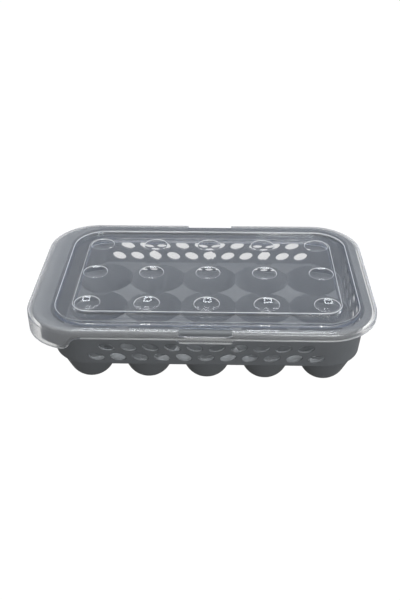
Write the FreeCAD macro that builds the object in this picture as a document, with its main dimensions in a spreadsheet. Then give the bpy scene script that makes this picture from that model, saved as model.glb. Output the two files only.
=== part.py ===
import FreeCAD, Part
import math
import os
import Sketcher

# Egg keeper: an opaque vented tray with fifteen cups and a translucent lid that snaps over its rim.
# Millimetres. X runs along the five cells, Y across the three, Z up.
# The origin is the middle of the centre cup's foot, on the surface that the tray stands on.

doc = FreeCAD.newDocument("EggKeeper")
sheet = doc.addObject("Spreadsheet::Sheet", "Sizes")
up = FreeCAD.Vector(0, 0, 1)


class Length:
    """A size of the sheet, or a sum of them, as formula text and as a number."""

    def __init__(self, text, number):
        self.text = text
        self.number = number

    def __add__(self, other):
        return Length(f"({self.text} + {other.text})", self.number + other.number)

    def __sub__(self, other):
        return Length(f"({self.text} - {other.text})", self.number - other.number)

    def __mul__(self, count):
        return Length(f"({self.text} * {count})", self.number * count)


def size(name, number):
    """Write one driving size into the sheet and give it back as a Length."""
    size.row += 1
    cell = f"B{size.row}"
    sheet.set(f"A{size.row}", name)
    sheet.set(cell, str(number))
    sheet.setAlias(cell, name)
    return Length(f"Sizes.{name}", number)


size.row = 0


def leg(hypotenuse, side):
    """The other short side of a right triangle."""
    text = f"sqrt({hypotenuse.text} ^ 2 - {side.text} ^ 2)"
    return Length(text, math.sqrt(hypotenuse.number ** 2 - side.number ** 2))


# Cells
COLUMNS = 5
ROWS = 3
pitch = size("cell_pitch", 45.0)
cup_radius = size("cup_radius", 17.0)
mouth_radius = size("mouth_radius", 23.7)
foot_radius = size("foot_radius", 3.4)

# Tray body
wall = size("tray_wall", 1.6)
tray_height = size("tray_height", 62.3)
deck_height = size("deck_height", 30.0)
end_land = size("end_land", 0.7)
side_land = size("side_land", 3.6)
end_lean = size("end_lean", 2.7)
side_lean = size("side_lean", 4.4)
base_corner = size("base_corner", 28.0)
top_corner = size("top_corner", 33.0)
base_round = size("base_round", 1.2)

# Tray rim and the lips that hang from it
rim_side = size("rim_side", 2.0)
rim_end = size("rim_end", 4.5)
rim_grip = size("rim_grip", 12.7)
rim_corner = size("rim_corner", 37.0)
rim_round = size("rim_round", 1.5)
lip_height = size("lip_height", 3.9)
grip_lip_height = size("grip_lip_height", 13.3)
lip_end_inset = size("lip_end_inset", 10.8)

# Vent holes
UPPER_SIDE_HOLES = 10
LOWER_SIDE_HOLES = 11
UPPER_END_HOLES = 6
LOWER_END_HOLES = 5
hole_pitch = size("hole_pitch", 16.2)
hole_width = size("hole_width", 12.0)
hole_height = size("hole_height", 7.0)
hole_lean = size("hole_lean", 15.0)
lower_row_rise = size("lower_row_rise", 6.1)
row_step = size("row_step", 9.7)

# Lid
lid_wall = size("lid_wall", 1.5)
seat_gap = size("seat_gap", 0.2)
skirt_gap = size("skirt_gap", 0.7)
end_skirt_gap = size("end_skirt_gap", 2.3)
skirt_depth = size("skirt_depth", 6.8)
grip_skirt_depth = size("grip_skirt_depth", 16.5)
grip_length = size("grip_length", 29.2)
sweep_length = size("sweep_length", 15.0)
shoulder_round = size("shoulder_round", 3.5)
panel_margin = size("panel_margin", 11.5)
panel_corner = size("panel_corner", 13.0)
gutter_width = size("gutter_width", 12.2)
gutter_depth = size("gutter_depth", 3.0)
edge_round = size("edge_round", 0.6)
dimple_radius = size("dimple_radius", 9.8)
dimple_depth = size("dimple_depth", 0.7)

# Latches at the middle of the long sides
slot_width = size("slot_width", 38.0)
slot_reach = size("slot_reach", 6.0)
slot_depth = size("slot_depth", 4.3)
slot_corner = size("slot_corner", 2.2)
tab_depth = size("tab_depth", 9.9)
tab_width = size("tab_width", 37.0)
tab_slope = size("tab_slope", 2.4)
snap_width = size("snap_width", 30.0)
snap_catch = size("snap_catch", 0.5)
snap_gap = size("snap_gap", 0.4)
snap_height = size("snap_height", 2.2)

# How far a cutting profile stands past the surface that it cuts
overrun = size("overrun", 5.0)

# Places that follow from the sizes
cells_long = pitch * ((COLUMNS - 1) / 2)
cells_wide = pitch * ((ROWS - 1) / 2)
base_long = cells_long + mouth_radius + end_land + wall
base_wide = cells_wide + mouth_radius + side_land + wall
top_long = base_long + end_lean
top_wide = base_wide + side_lean
rim_right = top_long + rim_end
rim_left = top_long + rim_grip
rim_wide = top_wide + rim_side
lid_right = rim_right + end_skirt_gap + lid_wall
lid_left = rim_left + end_skirt_gap + lid_wall
lid_wide = rim_wide + skirt_gap + lid_wall
lid_corner = rim_corner + skirt_gap + lid_wall
lid_top = tray_height + seat_gap + lid_wall
cup_outside = cup_radius + wall
cup_centre = leg(cup_outside, foot_radius)
deck_underside = deck_height - wall
rim_underside = tray_height - wall
lower_row = deck_height + lower_row_rise
upper_row = lower_row + row_step
sweep_foot = lid_left - grip_length
sweep_head = sweep_foot - sweep_length


def new_sketch(body, name, role, right=None, out=None):
    """A sketch on one of the body's own origin planes, moved by bound offsets."""
    sketch = body.newObject("Sketcher::SketchObject", name)
    planes = [item for item in body.Origin.OriginFeatures if item.Role == role]
    sketch.AttachmentSupport = [(planes[0], "")]
    sketch.MapMode = "FlatFace"
    for axis, shift in (("x", right), ("z", out)):
        if shift is not None:
            sketch.setExpression(f"AttachmentOffset.Base.{axis}", shift.text)
    return sketch


def hold(sketch, name, length, *definition):
    """A named dimension bound to the sheet."""
    index = sketch.addConstraint(Sketcher.Constraint(*definition, length.number))
    sketch.renameConstraint(index, name)
    sketch.setExpression(f"Constraints.{name}", length.text)


def tie(sketch, *definition):
    sketch.addConstraint(Sketcher.Constraint(*definition))


def line(sketch, start, end, helper=False):
    first = FreeCAD.Vector(start[0], start[1], 0)
    last = FreeCAD.Vector(end[0], end[1], 0)
    return sketch.addGeometry(Part.LineSegment(first, last), helper)


def arc(sketch, centre, radius, start, end, helper=False):
    circle = Part.Circle(FreeCAD.Vector(centre[0], centre[1], 0), up, radius)
    return sketch.addGeometry(Part.ArcOfCircle(circle, math.radians(start), math.radians(end)), helper)


def chain(sketch, edges):
    """Join straight edges end to start and close the loop."""
    for here, there in zip(edges, edges[1:] + edges[:1]):
        tie(sketch, "Coincident", here, 2, there, 1)


def rounded_rectangle(sketch, tag, left, right, half, corner):
    """A rounded rectangle about the X axis with its own reach to the left and to the right."""
    x0 = -left.number
    x1 = right.number
    y = half.number
    r = corner.number
    front = line(sketch, (x0 + r, -y), (x1 - r, -y))
    east = line(sketch, (x1, -y + r), (x1, y - r))
    rear = line(sketch, (x1 - r, y), (x0 + r, y))
    west = line(sketch, (x0, y - r), (x0, -y + r))
    corners = [
        arc(sketch, (x1 - r, -y + r), r, -90, 0),
        arc(sketch, (x1 - r, y - r), r, 0, 90),
        arc(sketch, (x0 + r, y - r), r, 90, 180),
        arc(sketch, (x0 + r, -y + r), r, 180, 270),
    ]
    sides = [front, east, rear, west]
    for number, bend in enumerate(corners):
        tie(sketch, "Tangent", sides[number], 2, bend, 1)
        tie(sketch, "Tangent", bend, 2, sides[(number + 1) % 4], 1)
    for side in (front, rear):
        tie(sketch, "Horizontal", side)
    for side in (east, west):
        tie(sketch, "Vertical", side)
    for bend in corners[1:]:
        tie(sketch, "Equal", corners[0], bend)
    hold(sketch, f"{tag}_corner", corner, "Radius", corners[0])
    hold(sketch, f"{tag}_right", right, "DistanceX", -1, 1, east, 1)
    hold(sketch, f"{tag}_left", left, "DistanceX", west, 1, -1, 1)
    hold(sketch, f"{tag}_rear", half, "DistanceY", -1, 1, rear, 1)
    hold(sketch, f"{tag}_front", half, "DistanceY", front, 1, -1, 1)


def pad(body, name, sketch, length, downward=False):
    feature = body.newObject("PartDesign::Pad", name)
    feature.Profile = sketch
    feature.setExpression("Length", length.text)
    feature.Reversed = downward
    return feature


def pocket(body, name, sketch, length=None, reverse=False, both=False):
    """A cut of a bound depth, or right through when no depth is given."""
    feature = body.newObject("PartDesign::Pocket", name)
    feature.Profile = sketch
    feature.Midplane = both
    feature.Reversed = reverse
    if length is None:
        feature.Type = "ThroughAll"
    else:
        feature.setExpression("Length", length.text)
    return feature


def row_pattern(body, name, feature, role, count, step):
    """Copies of a feature in one row along an axis of the body."""
    pattern = body.newObject("PartDesign::LinearPattern", name)
    pattern.Originals = [feature]
    aim(body, pattern, role, count, step)
    body.Tip = pattern
    return pattern


def aim(body, pattern, role, count, step):
    axes = [item for item in body.Origin.OriginFeatures if item.Role == role]
    pattern.Direction = (axes[0], [""])
    pattern.setExpression("Length", (step * (count - 1)).text)
    pattern.Occurrences = count


def cell_pattern(body, name, feature):
    """Copies of a feature in every cell, starting from the front left one."""
    pattern = body.newObject("PartDesign::MultiTransform", name)
    along = body.newObject("PartDesign::LinearPattern", f"{name}_columns")
    across = body.newObject("PartDesign::LinearPattern", f"{name}_rows")
    aim(body, along, "X_Axis", COLUMNS, pitch)
    aim(body, across, "Y_Axis", ROWS, pitch)
    pattern.Originals = [feature]
    pattern.Transformations = [along, across]
    body.Tip = pattern
    return pattern


def revolved(body, kind, name, sketch):
    feature = body.newObject(f"PartDesign::{kind}", name)
    feature.Profile = sketch
    feature.ReferenceAxis = (sketch, ["V_Axis"])
    feature.Angle = 360
    return feature


def rounded(body, name, edges, radius):
    base = body.Tip
    feature = body.newObject("PartDesign::Fillet", name)
    feature.Base = (base, edges)
    feature.setExpression("Radius", radius.text)
    body.Tip = feature
    return feature


def level_edges(shape, height, reach=None):
    """Names of the edges that lie level at a height, within a half width of the middle."""
    names = []
    for number, edge in enumerate(shape.Edges, 1):
        box = edge.BoundBox
        if abs(box.ZMin - height) > 0.01 or abs(box.ZMax - height) > 0.01:
            continue
        if reach is not None and (box.YMax > reach + 0.01 or box.YMin < -reach - 0.01):
            continue
        names.append(f"Edge{number}")
    return names


def swept_edge(sketch, foot, head, low, high):
    """Two equal arcs that carry an edge in a smooth S from a low level up to a high one."""
    run = (foot.number - head.number) / 2
    rise = (high.number - low.number) / 2
    turn = 2 * math.degrees(math.atan2(rise, run))
    radius = run / math.sin(math.radians(turn))
    lower = arc(sketch, (-foot.number, low.number + radius), radius, -90, -90 + turn)
    upper = arc(sketch, (-head.number, high.number - radius), radius, 90, 90 + turn)
    tie(sketch, "Tangent", lower, 2, upper, 2)
    tie(sketch, "Equal", lower, upper)
    tie(sketch, "Vertical", lower, 3, lower, 1)
    hold(sketch, "foot_place", foot, "DistanceX", lower, 1, -1, 1)
    hold(sketch, "foot_level", low, "DistanceY", -1, 1, lower, 1)
    hold(sketch, "head_place", head, "DistanceX", upper, 1, -1, 1)
    hold(sketch, "head_level", high, "DistanceY", -1, 1, upper, 1)
    return lower, upper


# Tray

tray = doc.addObject("PartDesign::Body", "egg_tray")
tray.Label = "egg_tray"

# The rim is a flat flange with a rounded edge, widest at the grip end on the left.
rim_sketch = new_sketch(tray, "rim_outline", "XY_Plane", out=rim_underside)
rounded_rectangle(rim_sketch, "rim", rim_left, rim_right, rim_wide, rim_corner)
rim = pad(tray, "rim", rim_sketch, wall)
doc.recompute()
rounded(tray, "rim_edge", level_edges(rim.Shape, tray_height.number), rim_round)

# Lips hang from the rim along the two long sides and deepen towards the grip end.
lip_sketch = new_sketch(tray, "lip_outline", "XY_Plane", out=rim_underside)
rounded_rectangle(lip_sketch, "lip", rim_left, rim_right, rim_wide, rim_corner)
lip_left = rim_left - wall
lip_right = rim_right - wall
rounded_rectangle(lip_sketch, "inside", lip_left, lip_right, rim_wide - wall, rim_corner - wall)
pad(tray, "lips", lip_sketch, grip_lip_height - wall, downward=True)

lip_cut = new_sketch(tray, "lip_edge", "XZ_Plane")
lip_bottom = tray_height - lip_height
lip_floor = tray_height - grip_lip_height
lip_foot = sweep_foot + lid_wall
lip_head = sweep_head + lid_wall
low_arc, high_arc = swept_edge(lip_cut, lip_foot, lip_head, lip_floor, lip_bottom)
lip_right_end = rim_right - lip_end_inset
past_right = rim_right + overrun
past_floor = lip_floor - overrun
path = [
    (-lip_head.number, lip_bottom.number),
    (lip_right_end.number, lip_bottom.number),
    (lip_right_end.number, rim_underside.number),
    (past_right.number, rim_underside.number),
    (past_right.number, past_floor.number),
    (-lip_foot.number, past_floor.number),
    (-lip_foot.number, lip_floor.number),
]
runs = [line(lip_cut, start, end) for start, end in zip(path, path[1:])]
tie(lip_cut, "Tangent", high_arc, 1, runs[0], 1)
for before, after in zip(runs, runs[1:]):
    tie(lip_cut, "Coincident", before, 2, after, 1)
tie(lip_cut, "Coincident", runs[5], 2, low_arc, 1)
for run in runs[0::2]:
    tie(lip_cut, "Horizontal", run)
for run in runs[1::2]:
    tie(lip_cut, "Vertical", run)
hold(lip_cut, "lip_end", lip_right_end, "DistanceX", -1, 1, runs[1], 1)
hold(lip_cut, "under_rim", rim_underside, "DistanceY", -1, 1, runs[2], 1)
hold(lip_cut, "past_right", past_right, "DistanceX", -1, 1, runs[3], 1)
hold(lip_cut, "past_floor", past_floor, "DistanceY", -1, 1, runs[4], 1)
pocket(tray, "lip_edges", lip_cut, both=True)

grip_cut = new_sketch(tray, "grip_gap", "XZ_Plane")
grip_gap_end = rim_left - lip_end_inset
past_left = rim_left + overrun
gap_path = [
    (-past_left.number, past_floor.number),
    (-grip_gap_end.number, past_floor.number),
    (-grip_gap_end.number, rim_underside.number),
    (-past_left.number, rim_underside.number),
]
gap_edges = [line(grip_cut, start, end) for start, end in zip(gap_path, gap_path[1:] + gap_path[:1])]
chain(grip_cut, gap_edges)
for edge in gap_edges[0::2]:
    tie(grip_cut, "Horizontal", edge)
for edge in gap_edges[1::2]:
    tie(grip_cut, "Vertical", edge)
hold(grip_cut, "past_left", past_left, "DistanceX", gap_edges[0], 1, -1, 1)
hold(grip_cut, "gap_end", grip_gap_end, "DistanceX", gap_edges[1], 1, -1, 1)
hold(grip_cut, "gap_floor", past_floor, "DistanceY", -1, 1, gap_edges[0], 1)
hold(grip_cut, "gap_roof", rim_underside, "DistanceY", -1, 1, gap_edges[2], 1)
pocket(tray, "grip_gap_cut", grip_cut, both=True)

# Leaning walls rise from the deck to the rim.
wall_foot = new_sketch(tray, "wall_foot", "XY_Plane", out=deck_underside)
rounded_rectangle(wall_foot, "foot", base_long, base_long, base_wide, base_corner)
wall_head = new_sketch(tray, "wall_head", "XY_Plane", out=rim_underside)
rounded_rectangle(wall_head, "head", top_long, top_long, top_wide, top_corner)
walls = tray.newObject("PartDesign::AdditiveLoft", "walls")
walls.Profile = wall_foot
walls.Sections = [wall_head]
doc.recompute()
rounded(tray, "wall_foot_round", level_edges(walls.Shape, deck_underside.number), base_round)


def tangent_from(point, centre, radius):
    """Angle of the foot of the lower tangent from a point to a circle on the axis."""
    dx = point[0]
    dz = point[1] - centre
    return math.atan2(dz, dx) - math.acos(radius / math.hypot(dx, dz))


# Round-bottomed cups hang below the deck, each with a small flat foot.
mouth = (mouth_radius.number, deck_height.number)
lean = tangent_from(mouth, cup_centre.number, cup_radius.number)
seat = (cup_radius.number * math.cos(lean), cup_centre.number + cup_radius.number * math.sin(lean))
hull = (cup_outside.number * math.cos(lean), cup_centre.number + cup_outside.number * math.sin(lean))
slope = -math.cos(lean) / math.sin(lean)
hull_top = deck_height - wall * 0.5
hull_reach = hull[0] + (hull_top.number - hull[1]) / slope

cup_skin = new_sketch(tray, "cup_outside", "XZ_Plane", right=cells_long * -1, out=cells_wide)
cone_guide = line(cup_skin, seat, mouth, helper=True)
seat_guide = arc(cup_skin, (0, cup_centre.number), cup_radius.number, -90, math.degrees(lean), helper=True)
foot_turn = -math.degrees(math.acos(foot_radius.number / cup_outside.number))
bowl = arc(cup_skin, (0, cup_centre.number), cup_outside.number, foot_turn, math.degrees(lean))
cone = line(cup_skin, hull, (hull_reach, hull_top.number))
lid_line = line(cup_skin, (hull_reach, hull_top.number), (0, hull_top.number))
axis_line = line(cup_skin, (0, hull_top.number), (0, 0))
foot_line = line(cup_skin, (0, 0), (foot_radius.number, 0))
tie(cup_skin, "Tangent", bowl, 2, cone, 1)
tie(cup_skin, "Coincident", cone, 2, lid_line, 1)
tie(cup_skin, "Coincident", lid_line, 2, axis_line, 1)
tie(cup_skin, "Coincident", axis_line, 2, foot_line, 1)
tie(cup_skin, "Coincident", foot_line, 2, bowl, 1)
tie(cup_skin, "Coincident", foot_line, 1, -1, 1)
tie(cup_skin, "Horizontal", foot_line)
tie(cup_skin, "Horizontal", lid_line)
tie(cup_skin, "Vertical", axis_line)
tie(cup_skin, "PointOnObject", bowl, 3, -2)
tie(cup_skin, "Coincident", seat_guide, 3, bowl, 3)
tie(cup_skin, "PointOnObject", seat_guide, 1, -2)
tie(cup_skin, "Tangent", seat_guide, 2, cone_guide, 1)
tie(cup_skin, "Parallel", cone_guide, cone)
hold(cup_skin, "foot", foot_radius, "DistanceX", -1, 1, foot_line, 2)
hold(cup_skin, "outside", cup_outside, "Radius", bowl)
hold(cup_skin, "inside", cup_radius, "Radius", seat_guide)
hold(cup_skin, "mouth", mouth_radius, "DistanceX", -1, 1, cone_guide, 2)
hold(cup_skin, "deck", deck_height, "DistanceY", -1, 1, cone_guide, 2)
hold(cup_skin, "hull_top", hull_top, "DistanceY", -1, 1, lid_line, 2)
cup = revolved(tray, "Revolution", "cup", cup_skin)
cell_pattern(tray, "cups", cup)

# The space inside the walls, down to the deck
space_foot = new_sketch(tray, "space_foot", "XY_Plane", out=deck_height)
foot_long = base_long - wall
rounded_rectangle(space_foot, "foot", foot_long, foot_long, base_wide - wall, base_corner - wall)
space_head = new_sketch(tray, "space_head", "XY_Plane", out=tray_height)
head_long = top_long - wall
rounded_rectangle(space_head, "head", head_long, head_long, top_wide - wall, top_corner - wall)
space = tray.newObject("PartDesign::SubtractiveLoft", "space")
space.Profile = space_foot
space.Sections = [space_head]

# The hollow of each cup: a ball seat under a cone that flares to its mouth
mouth_top = deck_height + wall * 0.5
cup_hollow = new_sketch(tray, "cup_inside", "XZ_Plane", right=cells_long * -1, out=cells_wide)
ball = arc(cup_hollow, (0, cup_centre.number), cup_radius.number, -90, math.degrees(lean))
flare = line(cup_hollow, seat, mouth)
throat = line(cup_hollow, mouth, (mouth[0], mouth_top.number))
cover = line(cup_hollow, (mouth[0], mouth_top.number), (0, mouth_top.number))
spine = line(cup_hollow, (0, mouth_top.number), (0, cup_centre.number - cup_radius.number))
tie(cup_hollow, "Tangent", ball, 2, flare, 1)
tie(cup_hollow, "Coincident", flare, 2, throat, 1)
tie(cup_hollow, "Coincident", throat, 2, cover, 1)
tie(cup_hollow, "Coincident", cover, 2, spine, 1)
tie(cup_hollow, "Coincident", spine, 2, ball, 1)
tie(cup_hollow, "Vertical", throat)
tie(cup_hollow, "Horizontal", cover)
tie(cup_hollow, "PointOnObject", spine, 1, -2)
tie(cup_hollow, "PointOnObject", spine, 2, -2)
tie(cup_hollow, "PointOnObject", ball, 3, -2)
hold(cup_hollow, "inside", cup_radius, "Radius", ball)
hold(cup_hollow, "centre", cup_centre, "DistanceY", -1, 1, ball, 3)
hold(cup_hollow, "mouth", mouth_radius, "DistanceX", -1, 1, flare, 2)
hold(cup_hollow, "deck", deck_height, "DistanceY", -1, 1, flare, 2)
hold(cup_hollow, "cover", mouth_top, "DistanceY", -1, 1, cover, 1)
hollow = revolved(tray, "Groove", "cup_hollow", cup_hollow)
cell_pattern(tray, "cup_hollows", hollow)


def vent_run(name, role, axis, count, start, height, lean, both):
    """Equal oval vents in one run along an axis, cut outwards from the middle."""
    sketch = new_sketch(tray, f"{name}_oval", role)
    turn = math.radians(lean.number)
    along = FreeCAD.Vector(math.cos(turn), math.sin(turn), 0)
    upward = FreeCAD.Vector(-math.sin(turn), math.cos(turn), 0)
    centre = FreeCAD.Vector(start.number, height.number, 0)
    wide = centre + along * (hole_width.number / 2)
    tall = centre + upward * (hole_height.number / 2)
    oval = sketch.addGeometry(Part.Ellipse(wide, tall, centre), False)
    sketch.exposeInternalGeometry(oval)
    hold(sketch, "width", hole_width, "Distance", 1)
    hold(sketch, "height", hole_height, "Distance", 2)
    hold(sketch, "level", height, "DistanceY", -1, 1, oval, 3)
    if start.number == 0:
        tie(sketch, "PointOnObject", oval, 3, -2)
        tie(sketch, "Horizontal", 1)
    else:
        hold(sketch, "start", start, "DistanceX", -1, 1, oval, 3)
        angle = sketch.addConstraint(Sketcher.Constraint("Angle", 1, turn))
        sketch.renameConstraint(angle, "lean")
        sketch.setExpression("Constraints.lean", lean.text)
    cut = pocket(tray, f"{name}_vent", sketch, reverse=not both, both=both)
    if count > 1:
        row_pattern(tray, f"{name}_vents", cut, axis, count, hole_pitch)


def vent_row(name, role, axis, count, height, both):
    """One row of oval vents, which lean up and away from the middle of the row."""
    half = count // 2
    first = hole_pitch * ((1 - count) / 2)
    inner = hole_pitch * (0.5 if count % 2 == 0 else 1)
    vent_run(f"{name}_left", role, axis, half, first, height, hole_lean * -1, both)
    vent_run(f"{name}_right", role, axis, half, inner, height, hole_lean, both)
    if count % 2:
        vent_run(f"{name}_middle", role, axis, 1, hole_pitch * 0, height, hole_lean * 0, both)


# Both long sides have vents, and so has the right end. The grip end is closed.
vent_row("upper_side", "XZ_Plane", "X_Axis", UPPER_SIDE_HOLES, upper_row, both=True)
vent_row("lower_side", "XZ_Plane", "X_Axis", LOWER_SIDE_HOLES, lower_row, both=True)
vent_row("upper_end", "YZ_Plane", "Y_Axis", UPPER_END_HOLES, upper_row, both=False)
vent_row("lower_end", "YZ_Plane", "Y_Axis", LOWER_END_HOLES, lower_row, both=False)

# Lid

lid = doc.addObject("PartDesign::Body", "snap_lid")
lid.Label = "snap_lid"

# Outer form with a rounded shoulder
lid_floor = lid_top - grip_skirt_depth
block_sketch = new_sketch(lid, "lid_outline", "XY_Plane", out=lid_floor)
rounded_rectangle(block_sketch, "lid", lid_left, lid_right, lid_wide, lid_corner)
block = pad(lid, "lid_block", block_sketch, grip_skirt_depth)
doc.recompute()
rounded(lid, "shoulder", level_edges(block.Shape, lid_top.number), shoulder_round)

# Inside of the skirt and roof, with the same rounding one wall further in
roof_underside = lid_top - lid_wall
inside_sketch = new_sketch(lid, "lid_inside", "XY_Plane", out=lid_floor)
inside_left = lid_left - lid_wall
inside_right = lid_right - lid_wall
inside_wide = lid_wide - lid_wall
inside_corner = lid_corner - lid_wall
rounded_rectangle(inside_sketch, "inside", inside_left, inside_right, inside_wide, inside_corner)
inside = pocket(lid, "lid_hollow", inside_sketch, grip_skirt_depth - lid_wall, reverse=True)
doc.recompute()
rounded(lid, "shoulder_inside", level_edges(inside.Shape, roof_underside.number), shoulder_round - lid_wall)

# A gutter runs round the raised middle panel.
panel_long = cells_long + panel_margin
panel_wide = cells_wide + panel_margin
crest_long = panel_long + gutter_width
crest_wide = panel_wide + gutter_width
crest_corner = panel_corner + gutter_width
trough_sketch = new_sketch(lid, "gutter_underside", "XY_Plane", out=lid_top - gutter_depth - lid_wall)
trough_long = crest_long + lid_wall
trough_wide = crest_wide + lid_wall
rounded_rectangle(trough_sketch, "outer", trough_long, trough_long, trough_wide, crest_corner + lid_wall)
core_long = panel_long - lid_wall
core_wide = panel_wide - lid_wall
rounded_rectangle(trough_sketch, "inner", core_long, core_long, core_wide, panel_corner - lid_wall)
pad(lid, "gutter_body", trough_sketch, gutter_depth + lid_wall * 0.5)
gutter_sketch = new_sketch(lid, "gutter_outline", "XY_Plane", out=lid_top)
rounded_rectangle(gutter_sketch, "crest", crest_long, crest_long, crest_wide, crest_corner)
rounded_rectangle(gutter_sketch, "panel", panel_long, panel_long, panel_wide, panel_corner)
gutter = pocket(lid, "gutter", gutter_sketch, gutter_depth)
doc.recompute()
rounded(lid, "gutter_edges", level_edges(gutter.Shape, lid_top.number, crest_wide.number), edge_round)

# The skirt's lower edge: deep round the grip end, then up in an S, with a tab at the middle
edge_cut = new_sketch(lid, "skirt_edge", "XZ_Plane")
skirt_bottom = lid_top - skirt_depth
tab_bottom = lid_top - tab_depth
tab_half = tab_width * 0.5
tab_root = tab_half + tab_slope
past_lid = lid_right + overrun
past_skirt = lid_floor - overrun
low_arc, high_arc = swept_edge(edge_cut, sweep_foot, sweep_head, lid_floor, skirt_bottom)
path = [
    (-sweep_head.number, skirt_bottom.number),
    (-tab_root.number, skirt_bottom.number),
    (-tab_half.number, tab_bottom.number),
    (tab_half.number, tab_bottom.number),
    (tab_root.number, skirt_bottom.number),
    (past_lid.number, skirt_bottom.number),
    (past_lid.number, past_skirt.number),
    (-sweep_foot.number, past_skirt.number),
    (-sweep_foot.number, lid_floor.number),
]
runs = [line(edge_cut, start, end) for start, end in zip(path, path[1:])]
tie(edge_cut, "Tangent", high_arc, 1, runs[0], 1)
for before, after in zip(runs, runs[1:]):
    tie(edge_cut, "Coincident", before, 2, after, 1)
tie(edge_cut, "Coincident", runs[7], 2, low_arc, 1)
for run in runs[0::2]:
    tie(edge_cut, "Horizontal", run)
for run in (runs[5], runs[7]):
    tie(edge_cut, "Vertical", run)
hold(edge_cut, "tab_root_left", tab_root, "DistanceX", runs[1], 1, -1, 1)
hold(edge_cut, "tab_left", tab_half, "DistanceX", runs[2], 1, -1, 1)
hold(edge_cut, "tab_right", tab_half, "DistanceX", -1, 1, runs[3], 1)
hold(edge_cut, "tab_root_right", tab_root, "DistanceX", -1, 1, runs[4], 1)
hold(edge_cut, "tab_bottom", tab_bottom, "DistanceY", -1, 1, runs[2], 1)
hold(edge_cut, "skirt_bottom", skirt_bottom, "DistanceY", -1, 1, runs[4], 1)
hold(edge_cut, "past_lid", past_lid, "DistanceX", -1, 1, runs[5], 1)
hold(edge_cut, "past_skirt", past_skirt, "DistanceY", -1, 1, runs[6], 1)
pocket(lid, "skirt_edges", edge_cut, both=True)


def mirrored(body, name, features):
    """The same features on the other long side."""
    feature = body.newObject("PartDesign::Mirrored", name)
    planes = [item for item in body.Origin.OriginFeatures if item.Role == "XZ_Plane"]
    feature.Originals = features
    feature.MirrorPlane = (planes[0], [""])
    body.Tip = feature
    return feature


# Finger slot over the shoulder, which leaves the tab below it free to flex
slot_sketch = new_sketch(lid, "slot_outline", "XZ_Plane", out=lid_wide - slot_reach)
slot_bottom = lid_top - slot_depth
slot_half = slot_width * 0.5
slot_head = lid_top + overrun
x = slot_half.number
z0 = slot_bottom.number
z1 = slot_head.number
r = slot_corner.number
sill = line(slot_sketch, (-x + r, z0), (x - r, z0))
right_bend = arc(slot_sketch, (x - r, z0 + r), r, -90, 0)
right_jamb = line(slot_sketch, (x, z0 + r), (x, z1))
lintel = line(slot_sketch, (x, z1), (-x, z1))
left_jamb = line(slot_sketch, (-x, z1), (-x, z0 + r))
left_bend = arc(slot_sketch, (-x + r, z0 + r), r, 180, 270)
tie(slot_sketch, "Tangent", sill, 2, right_bend, 1)
tie(slot_sketch, "Tangent", right_bend, 2, right_jamb, 1)
tie(slot_sketch, "Coincident", right_jamb, 2, lintel, 1)
tie(slot_sketch, "Coincident", lintel, 2, left_jamb, 1)
tie(slot_sketch, "Tangent", left_jamb, 2, left_bend, 1)
tie(slot_sketch, "Tangent", left_bend, 2, sill, 1)
tie(slot_sketch, "Horizontal", sill)
tie(slot_sketch, "Horizontal", lintel)
tie(slot_sketch, "Vertical", right_jamb)
tie(slot_sketch, "Vertical", left_jamb)
tie(slot_sketch, "Equal", left_bend, right_bend)
hold(slot_sketch, "corner", slot_corner, "Radius", right_bend)
hold(slot_sketch, "right", slot_half, "DistanceX", -1, 1, right_jamb, 1)
hold(slot_sketch, "left", slot_half, "DistanceX", left_jamb, 1, -1, 1)
hold(slot_sketch, "sill", slot_bottom, "DistanceY", -1, 1, sill, 1)
hold(slot_sketch, "head", slot_head, "DistanceY", -1, 1, lintel, 1)
slot = pocket(lid, "slot", slot_sketch, slot_reach + overrun, reverse=True)
mirrored(lid, "slots", [slot])

# Snap ridge inside the tab, which catches under the tray's lip
snap_sketch = new_sketch(lid, "snap_ridge_profile", "YZ_Plane")
snap_root = lid_wide - lid_wall * 0.5
snap_face = lid_wide - lid_wall
snap_tip = rim_wide - snap_catch
snap_top = lip_bottom - snap_gap
snap_foot = snap_top - snap_height
ridge_path = [
    (-snap_root.number, snap_foot.number),
    (-snap_face.number, snap_foot.number),
    (-snap_tip.number, snap_top.number),
    (-snap_root.number, snap_top.number),
]
ridge_ends = ridge_path[1:] + ridge_path[:1]
ridge_edges = [line(snap_sketch, start, end) for start, end in zip(ridge_path, ridge_ends)]
chain(snap_sketch, ridge_edges)
for edge in ridge_edges[0::2]:
    tie(snap_sketch, "Horizontal", edge)
tie(snap_sketch, "Vertical", ridge_edges[3])
hold(snap_sketch, "root", snap_root, "DistanceX", ridge_edges[0], 1, -1, 1)
hold(snap_sketch, "face", snap_face, "DistanceX", ridge_edges[1], 1, -1, 1)
hold(snap_sketch, "tip", snap_tip, "DistanceX", ridge_edges[2], 1, -1, 1)
hold(snap_sketch, "foot", snap_foot, "DistanceY", -1, 1, ridge_edges[0], 1)
hold(snap_sketch, "top", snap_top, "DistanceY", -1, 1, ridge_edges[2], 1)
ridge = pad(lid, "snap_ridge", snap_sketch, snap_width)
ridge.Midplane = True
mirrored(lid, "snap_ridges", [ridge])

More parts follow.
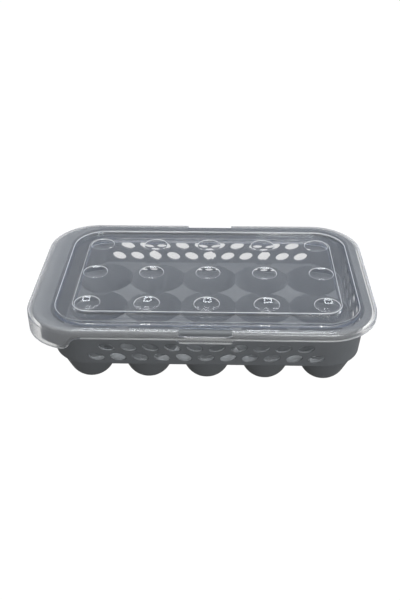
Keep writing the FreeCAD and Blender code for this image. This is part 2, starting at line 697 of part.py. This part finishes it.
# Shallow round dimples over the cells, which seat the feet of a keeper stacked on top
dimple_ball = (dimple_radius.number ** 2 + dimple_depth.number ** 2) / (2 * dimple_depth.number)
dimple_turn = math.degrees(math.asin(dimple_radius.number / dimple_ball))
dimple_floor = lid_top - dimple_depth
dimple_head = lid_top + lid_wall
dimple_sketch = new_sketch(lid, "dimple_profile", "XZ_Plane", right=cells_long * -1, out=cells_wide)
bowl = arc(dimple_sketch, (0, dimple_floor.number + dimple_ball), dimple_ball, -90, -90 + dimple_turn)
rise = line(dimple_sketch, (dimple_radius.number, lid_top.number), (dimple_radius.number, dimple_head.number))
cover = line(dimple_sketch, (dimple_radius.number, dimple_head.number), (0, dimple_head.number))
spine = line(dimple_sketch, (0, dimple_head.number), (0, dimple_floor.number))
tie(dimple_sketch, "Coincident", bowl, 2, rise, 1)
tie(dimple_sketch, "Coincident", rise, 2, cover, 1)
tie(dimple_sketch, "Coincident", cover, 2, spine, 1)
tie(dimple_sketch, "Coincident", spine, 2, bowl, 1)
tie(dimple_sketch, "Vertical", rise)
tie(dimple_sketch, "Horizontal", cover)
tie(dimple_sketch, "PointOnObject", spine, 1, -2)
tie(dimple_sketch, "PointOnObject", spine, 2, -2)
tie(dimple_sketch, "PointOnObject", bowl, 3, -2)
hold(dimple_sketch, "radius", dimple_radius, "DistanceX", -1, 1, rise, 1)
hold(dimple_sketch, "brim", lid_top, "DistanceY", -1, 1, rise, 1)
hold(dimple_sketch, "floor", dimple_floor, "DistanceY", -1, 1, spine, 2)
hold(dimple_sketch, "head", dimple_head, "DistanceY", -1, 1, cover, 1)
dimple = revolved(lid, "Groove", "dimple", dimple_sketch)
cell_pattern(lid, "dimples", dimple)

doc.recompute()

faults = [item.Name for item in doc.Objects if "Invalid" in item.State or "Error" in item.State]
if faults:
    raise RuntimeError("these features failed: " + ", ".join(faults))

pieces = [tray, lid]
for piece in pieces:
    shape = piece.Shape
    if shape.isNull() or not shape.isValid() or len(shape.Solids) != 1:
        raise RuntimeError(piece.Label + " is not one valid solid")
    box = shape.BoundBox
    print(piece.Label, "volume", round(shape.Volume), "box", box)

os.makedirs("parts", exist_ok=True)
for piece in pieces:
    piece.Shape.exportStep(f"parts/{piece.Label}.step")
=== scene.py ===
import math

import bmesh
import bpy
from mathutils import Matrix, Vector


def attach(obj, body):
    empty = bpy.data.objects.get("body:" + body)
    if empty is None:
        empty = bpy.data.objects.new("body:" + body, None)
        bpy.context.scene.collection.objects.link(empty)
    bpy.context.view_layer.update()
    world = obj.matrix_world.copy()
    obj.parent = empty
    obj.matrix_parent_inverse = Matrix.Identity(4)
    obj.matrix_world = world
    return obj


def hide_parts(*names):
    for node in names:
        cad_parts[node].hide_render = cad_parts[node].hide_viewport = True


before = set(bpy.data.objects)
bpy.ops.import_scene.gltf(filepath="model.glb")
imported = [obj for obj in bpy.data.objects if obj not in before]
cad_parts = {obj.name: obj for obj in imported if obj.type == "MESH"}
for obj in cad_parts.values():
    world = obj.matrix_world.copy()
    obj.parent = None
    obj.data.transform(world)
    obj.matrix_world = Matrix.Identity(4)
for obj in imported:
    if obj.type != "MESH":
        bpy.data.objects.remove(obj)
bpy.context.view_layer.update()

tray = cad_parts["egg_tray"]
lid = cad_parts["snap_lid"]

scene = bpy.context.scene
scene.view_settings.view_transform = "Standard"

# Places on the lid in metres: cells, heights, and distances out from the rectangle its edges run round
cell_pitch = 0.045
last_column = 2
last_row = 1
lid_top = 0.064
inner_half_length = 0.0885
inner_half_width = 0.0435
panel_edge_out = 0.0126
crest_edge_out = 0.0256
skirt_out = 0.0365
skirt_foot_height = 0.0576
tab_foot_height = 0.0545
grip_foot_height = 0.0479
grip_end_x = -0.09

white = (1, 1, 1, 1)
plastic_ior = 1.49


# Node helpers
def new_material(name):
    """An empty node material with only its output node."""
    material = bpy.data.materials.new(name)
    material.use_nodes = True
    material.node_tree.nodes.clear()
    output = material.node_tree.nodes.new("ShaderNodeOutputMaterial")
    return material, material.node_tree, output


def add(tree, kind, **settings):
    """A node with plain values set on its named inputs or properties."""
    node = tree.nodes.new("ShaderNode" + kind)
    for key, value in settings.items():
        if key in node.inputs:
            node.inputs[key].default_value = value
        else:
            setattr(node, key, value)
    return node


def maths(tree, operation, first, second=0.0):
    """A sum on one socket and a second socket or plain number."""
    node = add(tree, "Math", operation=operation)
    tree.links.new(first, node.inputs[0])
    if isinstance(second, bpy.types.NodeSocket):
        tree.links.new(second, node.inputs[1])
    else:
        node.inputs[1].default_value = second
    return node.outputs["Value"]


def vector_maths(tree, operation, source, *vectors):
    """A sum on one vector socket and plain vectors."""
    node = add(tree, "VectorMath", operation=operation)
    tree.links.new(source, node.inputs[0])
    for slot, vector in enumerate(vectors, start=1):
        node.inputs[slot].default_value = vector
    return node.outputs["Value" if operation == "LENGTH" else "Vector"]


def ramp(tree, source, start, end, low=0.0, high=1.0, easing="LINEAR"):
    """Carry a value from one range into another and hold it at the ends."""
    node = tree.nodes.new("ShaderNodeMapRange")
    node.interpolation_type = easing
    node.inputs["From Min"].default_value = start
    node.inputs["From Max"].default_value = end
    node.inputs["To Min"].default_value = low
    node.inputs["To Max"].default_value = high
    tree.links.new(source, node.inputs["Value"])
    return node.outputs["Result"]


def noise(tree, place, scale, detail):
    node = add(tree, "TexNoise", Scale=scale, Detail=detail)
    tree.links.new(place.outputs["Object"], node.inputs["Vector"])
    return node.outputs["Fac"]


def spread(tree, source, low, high):
    """Carry the common values of a noise into a narrow range."""
    common_low = 0.3
    common_high = 0.7
    return ramp(tree, source, common_low, common_high, low, high)


def shade_between(tree, source, dark, light):
    node = tree.nodes.new("ShaderNodeMix")
    node.data_type = "RGBA"
    node.inputs["A"].default_value = dark
    node.inputs["B"].default_value = light
    tree.links.new(source, node.inputs["Factor"])
    return node.outputs["Result"]


def mix_shaders(tree, share, first, second):
    node = tree.nodes.new("ShaderNodeMixShader")
    tree.links.new(share, node.inputs["Fac"])
    tree.links.new(first, node.inputs[1])
    tree.links.new(second, node.inputs[2])
    return node.outputs["Shader"]


def share_of(tree, rays):
    """The largest share given to a kind of ray, for what the eye sees and not for light on the object."""
    before_first_bounce = 0.5
    path = tree.nodes.new("ShaderNodeLightPath")
    largest = None
    for kind, share in rays.items():
        part = maths(tree, "MULTIPLY", path.outputs[kind], share)
        largest = part if largest is None else maths(tree, "MAXIMUM", largest, part)
    direct = maths(tree, "LESS_THAN", path.outputs["Diffuse Depth"], before_first_bounce)
    return maths(tree, "MULTIPLY", largest, direct)


# Dark grey moulded plastic of the tray
def grey_plastic():
    cloud_scale = 38.0
    cloud_detail = 4.0
    grain_scale = 2600.0
    grain_detail = 2.0
    darker = (0.188, 0.195, 0.204, 1)
    lighter = (0.222, 0.229, 0.238, 1)
    smoothest = 0.42
    roughest = 0.5
    edge_radius = 0.0009
    edge_samples = 4
    grain_height = 0.0002
    grain_strength = 0.06
    shine = 0.18

    material, tree, output = new_material("grey_plastic")
    place = tree.nodes.new("ShaderNodeTexCoord")
    cloud = noise(tree, place, cloud_scale, cloud_detail)
    grain = noise(tree, place, grain_scale, grain_detail)
    edge = add(tree, "Bevel", samples=edge_samples, Radius=edge_radius)
    skin = add(tree, "Bump", Strength=grain_strength, Distance=grain_height)
    tree.links.new(grain, skin.inputs["Height"])
    tree.links.new(edge.outputs["Normal"], skin.inputs["Normal"])
    plastic = add(tree, "BsdfPrincipled", IOR=plastic_ior)
    plastic.inputs["Specular IOR Level"].default_value = shine
    tree.links.new(shade_between(tree, cloud, darker, lighter), plastic.inputs["Base Color"])
    tree.links.new(spread(tree, cloud, smoothest, roughest), plastic.inputs["Roughness"])
    tree.links.new(skin.outputs["Normal"], plastic.inputs["Normal"])
    tree.links.new(plastic.outputs["BSDF"], output.inputs["Surface"])
    return material


def thin_line(tree, distance, place, half_width):
    """One where a distance has the value of the place, falling to nothing a half width away."""
    off = maths(tree, "SUBTRACT", distance, place)
    return ramp(tree, maths(tree, "ABSOLUTE", off), half_width, 0.0, easing="SMOOTHSTEP")


def outward_of(tree, place):
    """The distance out from the lid's inner rectangle."""
    mirrored = vector_maths(tree, "ABSOLUTE", place.outputs["Object"])
    inset = vector_maths(tree, "SUBTRACT", mirrored, (inner_half_length, inner_half_width, 1))
    beyond = vector_maths(tree, "MAXIMUM", inset, (0, 0, 0))
    return vector_maths(tree, "LENGTH", beyond)


# Painted highlight lines on the lid's top, made milky where rounded edges would catch light: the brims of
# the dimples and both edges of the gutter
def painted_top_highlights(tree, place, outward, height):
    half_cell = cell_pitch / 2
    brim_radius = 0.0096
    brim_half_width = 0.00042
    edge_half_width = 0.0006
    top_faces = 0.0628

    high = (half_cell, half_cell, 1)
    low = (-half_cell, -half_cell, -1)
    in_cell = vector_maths(tree, "WRAP", place.outputs["Object"], high, low)
    flat = vector_maths(tree, "MULTIPLY", in_cell, (1, 1, 0))
    from_centre = vector_maths(tree, "LENGTH", flat)
    # painted highlight ring along each dimple's brim
    brim = thin_line(tree, from_centre, brim_radius, brim_half_width)
    on_panel = maths(tree, "LESS_THAN", outward, panel_edge_out)
    brims = maths(tree, "MULTIPLY", brim, on_panel)
    panel_edge = thin_line(tree, outward, panel_edge_out, edge_half_width)
    crest_edge = thin_line(tree, outward, crest_edge_out, edge_half_width)
    gutter = maths(tree, "MAXIMUM", panel_edge, crest_edge)
    upper = maths(tree, "GREATER_THAN", height, top_faces)
    return maths(tree, "MULTIPLY", maths(tree, "MAXIMUM", brims, gutter), upper)


# Painted highlight lines, made milky, along the feet of the skirt, the tabs and the grip end, where
# rounded edges would catch light
def painted_foot_highlights(tree, along, outward, height):
    half_width = 0.0007
    # painted highlight lines at each foot height
    skirt_foot = thin_line(tree, height, skirt_foot_height, half_width)
    tab_foot = thin_line(tree, height, tab_foot_height, half_width)
    grip_foot = thin_line(tree, height, grip_foot_height, half_width)
    past_grip = maths(tree, "GREATER_THAN", along, grip_end_x)
    feet = maths(tree, "MULTIPLY", maths(tree, "MAXIMUM", skirt_foot, tab_foot), past_grip)
    on_skirt = maths(tree, "GREATER_THAN", outward, skirt_out)
    return maths(tree, "MULTIPLY", maths(tree, "MAXIMUM", feet, grip_foot), on_skirt)


# Translucent plastic of the lid: clear panel, painted highlight lines made milky along its edges, frosted
# skirt
def clear_plastic():
    cloud_scale = 26.0
    cloud_detail = 4.0
    smoothest = 0.02
    roughest = 0.04
    frost_begins = 0.034
    frost_full = 0.038
    skirt_milk = 0.06
    skirt_frost = 0.16
    clearest = 0.97
    milkiest_at_painted_highlights = 0.3
    tint = (0.775, 0.768, 0.752, 1)
    haze = 0.16
    haze_width = 0.6
    haze_tint = (0.35, 0.55, 1.0, 1)
    passed_straight = (0.83, 0.827, 0.82, 1)
    passed_aslant = (0.35, 0.347, 0.34, 1)
    even_falloff = 0.5

    material, tree, output = new_material("clear_plastic")
    place = tree.nodes.new("ShaderNodeTexCoord")
    parts = tree.nodes.new("ShaderNodeSeparateXYZ")
    tree.links.new(place.outputs["Object"], parts.inputs["Vector"])
    outward = outward_of(tree, place)
    # painted highlight lines on the top and at the feet
    top_highlights = painted_top_highlights(tree, place, outward, parts.outputs["Z"])
    foot_highlights = painted_foot_highlights(tree, parts.outputs["X"], outward, parts.outputs["Z"])
    lines = maths(tree, "MAXIMUM", top_highlights, foot_highlights)
    skirt = ramp(tree, outward, frost_begins, frost_full)
    # painted highlight lines, and a slight milkiness over the skirt
    painted_highlights_and_skirt_milk = maths(tree, "MAXIMUM", lines, maths(tree, "MULTIPLY", skirt, skirt_milk))

    cloud = noise(tree, place, cloud_scale, cloud_detail)
    satin = spread(tree, cloud, smoothest, roughest)
    frosted = maths(tree, "ADD", satin, maths(tree, "MULTIPLY", skirt, skirt_frost))
    plastic = add(tree, "BsdfPrincipled", IOR=plastic_ior)
    plastic.inputs["Base Color"].default_value = tint
    plastic.inputs["Sheen Weight"].default_value = haze
    plastic.inputs["Sheen Roughness"].default_value = haze_width
    plastic.inputs["Sheen Tint"].default_value = haze_tint
    # less clear along the painted highlight lines, so their milky base shows light there
    clear = ramp(tree, painted_highlights_and_skirt_milk, 0.0, 1.0, clearest, milkiest_at_painted_highlights)
    tree.links.new(clear, plastic.inputs["Transmission Weight"])
    tree.links.new(frosted, plastic.inputs["Roughness"])

    slant = add(tree, "LayerWeight", Blend=even_falloff)
    dimmed = shade_between(tree, slant.outputs["Facing"], passed_straight, passed_aslant)
    passing = tree.nodes.new("ShaderNodeBsdfTransparent")
    tree.links.new(dimmed, passing.inputs["Color"])
    ray = tree.nodes.new("ShaderNodeLightPath")
    is_shadow = ray.outputs["Is Shadow Ray"]
    body = mix_shaders(tree, is_shadow, plastic.outputs["BSDF"], passing.outputs["BSDF"])
    tree.links.new(body, output.inputs["Surface"])
    return material


def dress(node, material):
    node.data.materials.clear()
    node.data.materials.append(material)


# Stacking dimples with a short steep wall inside the edge and a round bowl below it
def sink_dimples(shell):
    reach = 0.0099
    wall = 0.0004
    bowl = 0.0094
    drop = 0.0003
    depth = 0.0008
    rings = 9
    lowest = 0.0632
    just_past_bowl = 1.01

    def cell_of(point):
        column = max(-last_column, min(last_column, round(point.x / cell_pitch)))
        row = max(-last_row, min(last_row, round(point.y / cell_pitch)))
        return column, row

    def off_centre(point):
        column, row = cell_of(point)
        return math.hypot(point.x - cell_pitch * column, point.y - cell_pitch * row)

    def in_dimple(point):
        return point.z > lowest and off_centre(point) < reach

    def of_one_bowl(face):
        points = [corner.co for corner in face.verts]
        return all(map(in_dimple, points)) and len(set(map(cell_of, points))) == 1

    def fill_with_rings(cap):
        rim = list(cap.verts)
        column, row = cell_of(rim[0].co)
        centre = Vector((cell_pitch * column, cell_pitch * row, lid_top))
        spokes = [(corner.co - centre).normalized() * bowl for corner in rim]
        shell.faces.remove(cap)
        outer = rim
        for step in range(rings - 1, 0, -1):
            inner = [shell.verts.new(centre + spoke * step / rings) for spoke in spokes]
            for place in range(len(rim)):
                shell.faces.new((outer[place - 1], outer[place], inner[place], inner[place - 1]))
            outer = inner
        middle = shell.verts.new(centre)
        for place in range(len(rim)):
            shell.faces.new((outer[place - 1], outer[place], middle))

    bowls = [face for face in shell.faces if of_one_bowl(face)]
    bmesh.ops.delete(shell, geom=bowls, context="FACES")
    rims = [seam for seam in shell.edges if seam.is_boundary]
    caps = bmesh.ops.holes_fill(shell, edges=rims, sides=0)["faces"]
    bmesh.ops.inset_region(shell, faces=caps, thickness=wall, use_boundary=True, use_even_offset=True)
    for cap in caps:
        fill_with_rings(cap)
    for corner in shell.verts:
        share = off_centre(corner.co) / bowl
        if in_dimple(corner.co) and share < just_past_bowl:
            corner.co.z = lid_top - drop - depth * max(0.0, 1 - share ** 2)


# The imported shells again, merged and shaded smooth so that their rounds mirror cleanly
def smooth_shell(name, node, body, finish, reshape=None):
    same_point = 0.000002
    sharp_angle = math.radians(32)
    large_faces_first = 80

    shell = bmesh.new()
    shell.from_mesh(node.data)
    bmesh.ops.remove_doubles(shell, verts=shell.verts, dist=same_point)
    if reshape:
        reshape(shell)
    for face in shell.faces:
        face.smooth = True
    for seam in shell.edges:
        seam.smooth = seam.calc_face_angle(0) < sharp_angle
    mesh = bpy.data.meshes.new(name)
    shell.to_mesh(mesh)
    shell.free()
    piece = bpy.data.objects.new(name, mesh)
    scene.collection.objects.link(piece)
    even = piece.modifiers.new("even_normals", "WEIGHTED_NORMAL")
    even.keep_sharp = True
    even.weight = large_faces_first
    dress(piece, finish)
    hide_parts(node.name)
    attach(piece, body)


smooth_shell("tray_shell", tray, "tray", grey_plastic())
smooth_shell("lid_shell", lid, "lid", clear_plastic(), sink_dimples)


# Camera in front, a little to the right of the middle and looking down
camera_place = (0.0117, -0.5259, 0.3811)
heading_angle = 1.985
look_down_angle = 33.112
roll_angle = -0.465
film_width = 36
focal_length = 46.18

heading = Matrix.Rotation(math.radians(heading_angle), 4, "Z")
tilt = Matrix.Rotation(math.radians(90 - look_down_angle), 4, "X")
roll = Matrix.Rotation(math.radians(roll_angle), 4, "Z")
lens = bpy.data.cameras.new("camera")
lens.sensor_width = film_width
lens.lens = focal_length
camera = bpy.data.objects.new("camera", lens)
camera.matrix_world = Matrix.Translation(camera_place) @ heading @ tilt @ roll
scene.collection.objects.link(camera)
scene.camera = camera


# Floor, white to the eye and with the object's shadow
def white_floor():
    grey = (0.09, 0.09, 0.09, 1)
    glow_strength = 1.3
    rays = {"Is Camera Ray": 0.78, "Is Transmission Ray": 0.78, "Is Glossy Ray": 0.2}

    material, tree, output = new_material("white_floor")
    paper = add(tree, "BsdfDiffuse", Color=grey)
    glow = add(tree, "Emission", Color=white, Strength=glow_strength)
    share = share_of(tree, rays)
    surface = mix_shaders(tree, share, paper.outputs["BSDF"], glow.outputs["Emission"])
    tree.links.new(surface, output.inputs["Surface"])
    return material


floor_size = 6.0
floor_height = -0.0002
bpy.ops.mesh.primitive_plane_add(size=floor_size, location=(0, 0, floor_height))
floor = bpy.context.object
floor.name = "floor"
dress(floor, white_floor())


# White room that darkens overhead, as the lid mirrors it
def white_room():
    dim_strength = 0.16
    white_strength = 1.0
    bright_below = 0.1
    dark_above = 0.55
    brightest = 1.0
    darkest = 0.06
    rays = {"Is Camera Ray": 1.0, "Is Transmission Ray": 0.75}

    room = bpy.data.worlds.new("white_room")
    room.use_nodes = True
    tree = room.node_tree
    tree.nodes.clear()
    output = tree.nodes.new("ShaderNodeOutputWorld")
    place = tree.nodes.new("ShaderNodeTexCoord")
    parts = tree.nodes.new("ShaderNodeSeparateXYZ")
    tree.links.new(place.outputs["Generated"], parts.inputs["Vector"])
    by_height = ramp(tree, parts.outputs["Z"], bright_below, dark_above, brightest, darkest)
    dim = add(tree, "Background", Color=white, Strength=dim_strength)
    mirrored = add(tree, "Background", Color=white)
    tree.links.new(by_height, mirrored.inputs["Strength"])
    bright = add(tree, "Background", Color=white, Strength=white_strength)
    path = tree.nodes.new("ShaderNodeLightPath")
    is_glossy = path.outputs["Is Glossy Ray"]
    around = mix_shaders(tree, is_glossy, dim.outputs["Background"], mirrored.outputs["Background"])
    seen = mix_shaders(tree, share_of(tree, rays), around, bright.outputs["Background"])
    tree.links.new(seen, output.inputs["Surface"])
    return room


scene.world = white_room()


# Lamps, none of them seen by the camera itself
lamp_colour = (0.94, 0.975, 1.0)


def soft_box(name, place, facing, wide, tall, watts, shift=(0, 0)):
    lamp = bpy.data.lights.new(name, "AREA")
    lamp.shape = "RECTANGLE"
    lamp.size = wide
    lamp.size_y = tall
    lamp.energy = watts
    lamp.color = lamp_colour
    holder = bpy.data.objects.new(name, lamp)
    turn = Vector(facing).to_track_quat("-Z", "Y").to_matrix().to_4x4()
    holder.matrix_world = Matrix.Translation(place) @ turn @ Matrix.Translation((*shift, 0))
    holder.visible_camera = False
    scene.collection.objects.link(holder)


soft_box("top_light", (0.0, 0.05, 0.95), (0.0, -0.05, -0.9), wide=0.6, tall=0.4, watts=5.2)
soft_box("front_light", (0.35, -1.0, 0.55), (-0.35, 1.0, -0.5), wide=0.5, tall=0.3, watts=5.2)
soft_box("left_light", (-0.8, 0.1, 0.5), (0.8, -0.1, -0.45), wide=0.5, tall=0.3, watts=1.2)
soft_box("right_light", (0.8, 0.0, 0.4), (-0.8, 0.0, -0.35), wide=0.5, tall=0.3, watts=2.0)

# A row of outlines of light behind the lid, mirrored small in the dimples
outline_row = (-0.135, -0.077, -0.008, 0.057, 0.124)
outline_back = 0.177
outline_height = 0.288
outline_facing = (0, -0.7, -0.7)
outline_watts_per_area = 28
# The shift, width and height of each bar of an outline
outline_bars = (
    ((0, 0.022), 0.034, 0.014),
    ((0, -0.022), 0.034, 0.014),
    ((-0.0145, 0), 0.005, 0.03),
    ((0.0145, 0), 0.005, 0.03),
)
for across in outline_row:
    for shift, wide, tall in outline_bars:
        place = (across, outline_back, outline_height)
        watts = outline_watts_per_area * wide * tall
        soft_box("outline_light", place, outline_facing, wide, tall, watts, shift)
